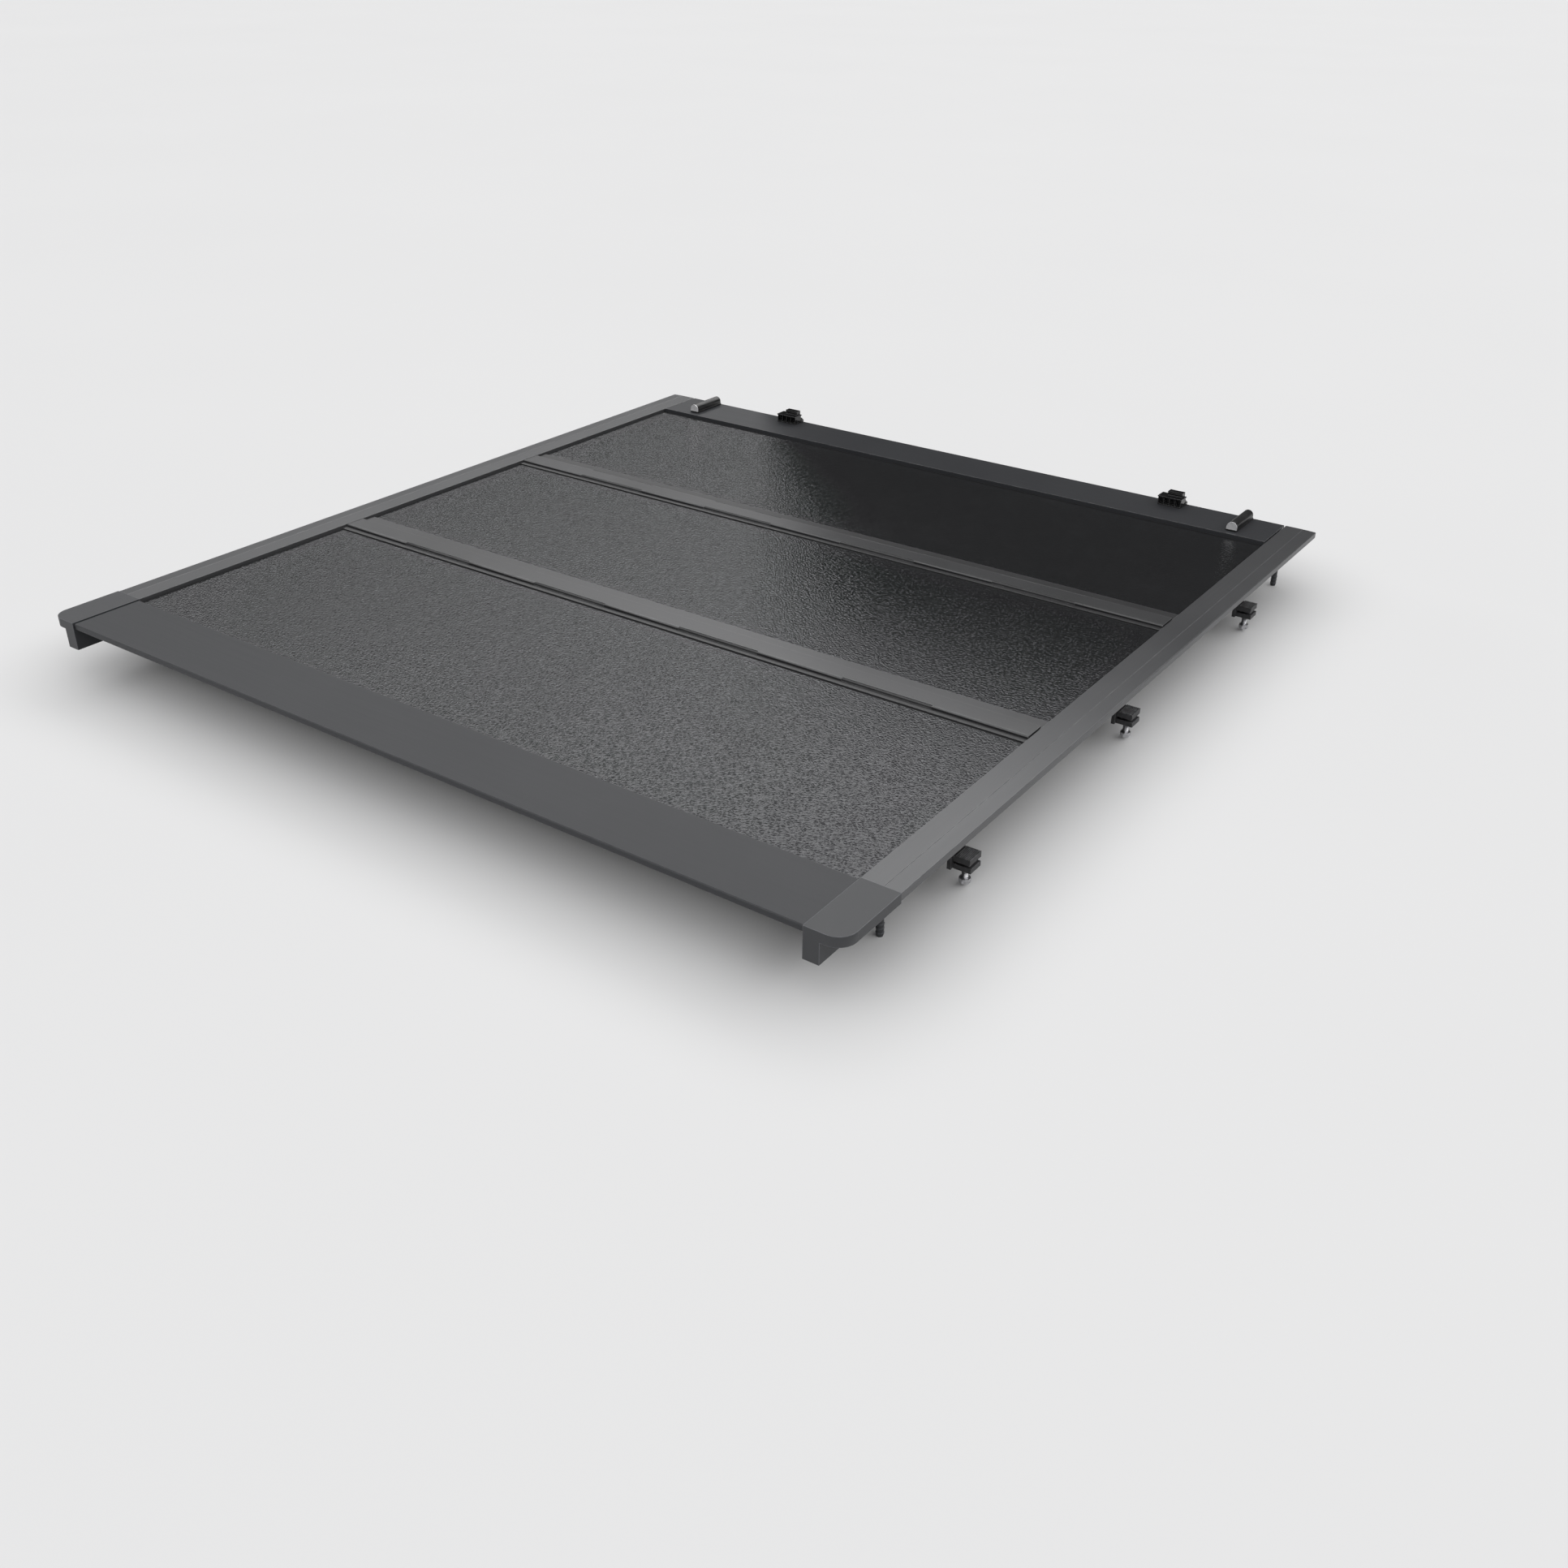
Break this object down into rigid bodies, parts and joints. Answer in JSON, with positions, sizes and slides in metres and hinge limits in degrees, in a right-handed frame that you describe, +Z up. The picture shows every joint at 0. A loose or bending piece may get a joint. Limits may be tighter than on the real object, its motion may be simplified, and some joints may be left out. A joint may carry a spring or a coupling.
{
  "type": "tonneau cover",
  "caption": "Hard folding pickup bed cover: three textured panels on flush hinge strips between side rails, with rail clamps, latch and prop rods.",
  "frame": {"origin": "under the middle of the cover, level with the lowest point of its drain spigots", "axes": "+Y towards the truck's cab, +X to the truck's right side, +Z up"},
  "size_m": [1.622, 1.703, 0.132],
  "materials": {
    "rail": "satin black powder coat, fine lengthwise grain",
    "header": "smooth satin black coat",
    "strip": "smooth satin black coat, brighter sheen",
    "frame_metal": "satin black coat",
    "skin": "satin, fine leather-like grain",
    "core": "sealed core board, black underside",
    "cap_plastic": "fine moulded texture",
    "seal_rubber": "matte",
    "bed_foam": "matte foam rubber",
    "bumper_rubber": "smooth satin",
    "bumper_plate": "satin silver",
    "clip_plastic": "gloss black",
    "clamp_metal": "cast, black coat",
    "steel": "zinc plated",
    "latch_plastic": "moulded"
  },
  "bodies": {
    "root": {"left_rail": "rail", "right_rail": "rail", "rear_header": "header", "left_corner_cap": "cap_plastic", "right_corner_cap": "cap_plastic", "tailgate_seal": "seal_rubber", "bed_seals": "bed_foam", "panel_seals": "seal_rubber", "front_bar": "frame_metal", "bulkhead_seal": "seal_rubber", "pivot_blocks": "cap_plastic", "clamp_bodies": "clamp_metal", "clamp_screws": "steel", "drain_spigots": "cap_plastic", "prop_stops": "clamp_metal"},
    "front_panel": {"front_strip": "header", "front_skin": "skin", "front_board": "core", "front_edge_trims": "frame_metal", "front_hinge_rail": "frame_metal", "left_bumper": "bumper_rubber", "right_bumper": "bumper_rubber", "left_bumper_plate": "bumper_plate", "right_bumper_plate": "bumper_plate", "left_stow_clip": "clip_plastic", "right_stow_clip": "clip_plastic", "pivot_pins": "steel", "prop_brackets": "clamp_metal", "prop_pins": "steel"},
    "hinge_link": {"hinge_link": "strip", "hinge_link_pins": "steel"},
    "middle_panel": {"middle_skin": "skin", "middle_board": "core", "middle_edge_trims": "frame_metal", "middle_hinge_rail": "frame_metal", "middle_hinge_strip": "strip", "rear_hinge_pin": "steel"},
    "rear_panel": {"rear_skin": "skin", "rear_board": "core", "rear_edge_trims": "frame_metal", "rear_hinge_rail": "frame_metal", "latch_base": "latch_plastic"},
    "latch_lever": {"latch_lever": "latch_plastic"},
    "left_latch_bolt": {"left_latch_bolt": "steel"},
    "right_latch_bolt": {"right_latch_bolt": "steel"},
    "left_prop_rod": {"left_prop_rod": "steel"},
    "right_prop_rod": {"right_prop_rod": "steel"},
    "clamp_jaw_1": {"clamp_jaw_1": "clamp_metal"},
    "clamp_bolt_1": {"clamp_bolt_1": "steel"},
    "clamp_jaw_2": {"clamp_jaw_2": "clamp_metal"},
    "clamp_bolt_2": {"clamp_bolt_2": "steel"},
    "clamp_jaw_3": {"clamp_jaw_3": "clamp_metal"},
    "clamp_bolt_3": {"clamp_bolt_3": "steel"},
    "clamp_jaw_4": {"clamp_jaw_4": "clamp_metal"},
    "clamp_bolt_4": {"clamp_bolt_4": "steel"},
    "clamp_jaw_5": {"clamp_jaw_5": "clamp_metal"},
    "clamp_bolt_5": {"clamp_bolt_5": "steel"},
    "clamp_jaw_6": {"clamp_jaw_6": "clamp_metal"},
    "clamp_bolt_6": {"clamp_bolt_6": "steel"}
  },
  "joints": [
    {"name": "front_lift", "type": "hinge", "parent": "root", "child": "front_panel", "pos_m": [0, 0.8355, 0.094], "axis": [-1, 0, 0], "range_deg": [0, 90]},
    {"name": "link_fold", "type": "hinge", "parent": "front_panel", "child": "hinge_link", "pos_m": [0, 0.2845, 0.102], "axis": [-1, 0, 0], "range_deg": [0, 90]},
    {"name": "middle_fold", "type": "hinge", "parent": "hinge_link", "child": "middle_panel", "pos_m": [0, 0.2455, 0.102], "axis": [-1, 0, 0], "range_deg": [0, 90]},
    {"name": "rear_fold", "type": "hinge", "parent": "middle_panel", "child": "rear_panel", "pos_m": [0, -0.2545, 0.102], "axis": [-1, 0, 0], "range_deg": [0, 180]},
    {"name": "latch_turn", "type": "hinge", "parent": "rear_panel", "child": "latch_lever", "pos_m": [0, -0.6185, 0.074], "axis": [0, 0, 1], "range_deg": [0, 45]},
    {"name": "right_latch_slide", "type": "slide", "parent": "rear_panel", "child": "right_latch_bolt", "axis": [1, 0, 0], "range_m": [0, 0.018]},
    {"name": "left_latch_slide", "type": "slide", "parent": "rear_panel", "child": "left_latch_bolt", "axis": [-1, 0, 0], "range_m": [0, 0.018]},
    {"name": "left_prop_swing", "type": "hinge", "parent": "front_panel", "child": "left_prop_rod", "pos_m": [-0.718, 0.6915, 0.072], "axis": [1, 0, 0], "range_deg": [0, 112.8]},
    {"name": "right_prop_swing", "type": "hinge", "parent": "front_panel", "child": "right_prop_rod", "pos_m": [0.718, 0.6915, 0.072], "axis": [1, 0, 0], "range_deg": [0, 112.8]},
    {"name": "clamp_jaw_slide_1", "type": "slide", "parent": "root", "child": "clamp_jaw_1", "axis": [0, 0, 1], "range_m": [0, 0.015]},
    {"name": "clamp_bolt_turn_1", "type": "hinge", "parent": "clamp_jaw_1", "child": "clamp_bolt_1", "pos_m": [-0.794, -0.5185, 0.034], "axis": [0, 0, 1], "range_deg": [0, 3600]},
    {"name": "clamp_jaw_slide_2", "type": "slide", "parent": "root", "child": "clamp_jaw_2", "axis": [0, 0, 1], "range_m": [0, 0.015]},
    {"name": "clamp_bolt_turn_2", "type": "hinge", "parent": "clamp_jaw_2", "child": "clamp_bolt_2", "pos_m": [-0.794, 0.0115, 0.034], "axis": [0, 0, 1], "range_deg": [0, 3600]},
    {"name": "clamp_jaw_slide_3", "type": "slide", "parent": "root", "child": "clamp_jaw_3", "axis": [0, 0, 1], "range_m": [0, 0.015]},
    {"name": "clamp_bolt_turn_3", "type": "hinge", "parent": "clamp_jaw_3", "child": "clamp_bolt_3", "pos_m": [-0.794, 0.5415, 0.034], "axis": [0, 0, 1], "range_deg": [0, 3600]},
    {"name": "clamp_jaw_slide_4", "type": "slide", "parent": "root", "child": "clamp_jaw_4", "axis": [0, 0, 1], "range_m": [0, 0.015]},
    {"name": "clamp_bolt_turn_4", "type": "hinge", "parent": "clamp_jaw_4", "child": "clamp_bolt_4", "pos_m": [0.794, -0.5185, 0.034], "axis": [0, 0, 1], "range_deg": [0, 3600]},
    {"name": "clamp_jaw_slide_5", "type": "slide", "parent": "root", "child": "clamp_jaw_5", "axis": [0, 0, 1], "range_m": [0, 0.015]},
    {"name": "clamp_bolt_turn_5", "type": "hinge", "parent": "clamp_jaw_5", "child": "clamp_bolt_5", "pos_m": [0.794, 0.0115, 0.034], "axis": [0, 0, 1], "range_deg": [0, 3600]},
    {"name": "clamp_jaw_slide_6", "type": "slide", "parent": "root", "child": "clamp_jaw_6", "axis": [0, 0, 1], "range_m": [0, 0.015]},
    {"name": "clamp_bolt_turn_6", "type": "hinge", "parent": "clamp_jaw_6", "child": "clamp_bolt_6", "pos_m": [0.794, 0.5415, 0.034], "axis": [0, 0, 1], "range_deg": [0, 3600]}
  ],
  "couplings": [
    {"joint": "latch_turn", "follows": "right_latch_slide", "rad_per_m": 43.63},
    {"joint": "left_latch_slide", "follows": "right_latch_slide", "ratio": 1},
    {"joint": "clamp_bolt_turn_1", "follows": "clamp_jaw_slide_1", "rad_per_m": 4188.7},
    {"joint": "clamp_bolt_turn_2", "follows": "clamp_jaw_slide_2", "rad_per_m": 4188.7},
    {"joint": "clamp_bolt_turn_3", "follows": "clamp_jaw_slide_3", "rad_per_m": 4188.7},
    {"joint": "clamp_bolt_turn_4", "follows": "clamp_jaw_slide_4", "rad_per_m": 4188.7},
    {"joint": "clamp_bolt_turn_5", "follows": "clamp_jaw_slide_5", "rad_per_m": 4188.7},
    {"joint": "clamp_bolt_turn_6", "follows": "clamp_jaw_slide_6", "rad_per_m": 4188.7}
  ]
}
